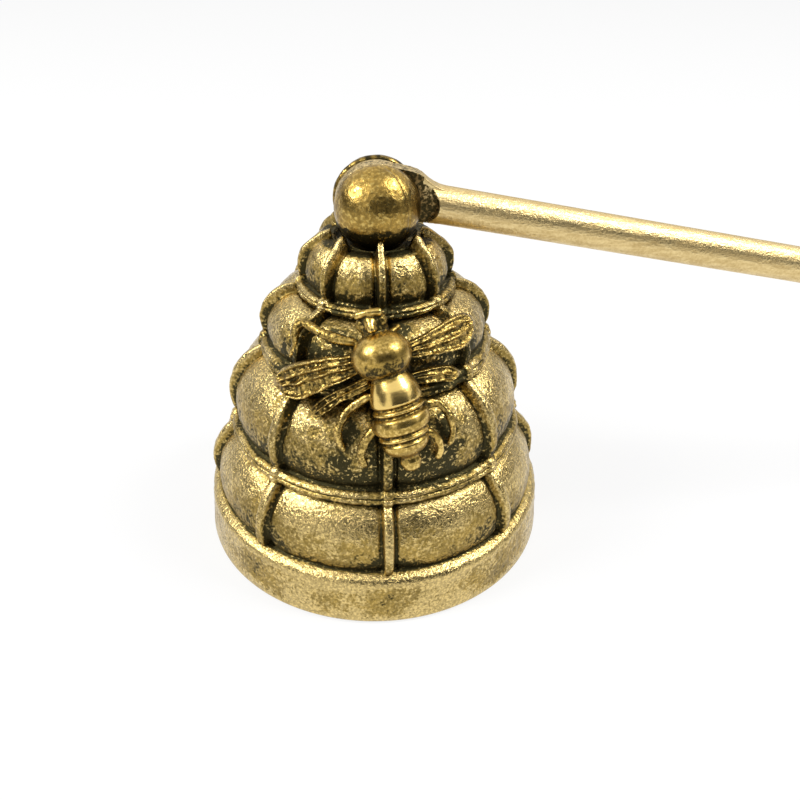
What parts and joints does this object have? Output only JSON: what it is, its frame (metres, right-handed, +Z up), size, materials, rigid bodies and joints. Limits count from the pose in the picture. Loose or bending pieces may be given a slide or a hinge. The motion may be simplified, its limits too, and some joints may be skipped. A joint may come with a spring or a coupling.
{
  "type": "candle snuffer",
  "caption": "Antique brass candle snuffer: a hollow beehive bell with a bee in relief, hinged by a split ball knob to a long round handle.",
  "frame": {"origin": "centre of the bell's open mouth, in the plane of its rim, which rests on the table", "axes": "+Z up along the bell's axis, +X toward the free end of the handle, the bee on the -Y side"},
  "size_m": [0.2463, 0.044, 0.0481],
  "materials": {
    "cast_brass": "antiqued sand casting, dark patina in the recesses",
    "polished_relief": "antiqued, high points rubbed bright",
    "pin_brass": "filed flush and antiqued",
    "handle_brass": "satin, lightly antiqued"
  },
  "bodies": {
    "bell": {"hive_bell": "cast_brass", "bee": "polished_relief", "ball_knob": "cast_brass", "hinge_pin": "pin_brass"},
    "handle": {"handle_tongue": "handle_brass", "handle_rod": "handle_brass"}
  },
  "joints": [
    {"name": "handle_hinge", "type": "hinge", "parent": "bell", "child": "handle", "pos_m": [0, 0, 0.04335], "axis": [0, -1, 0], "range_deg": [-5, 170]}
  ]
}
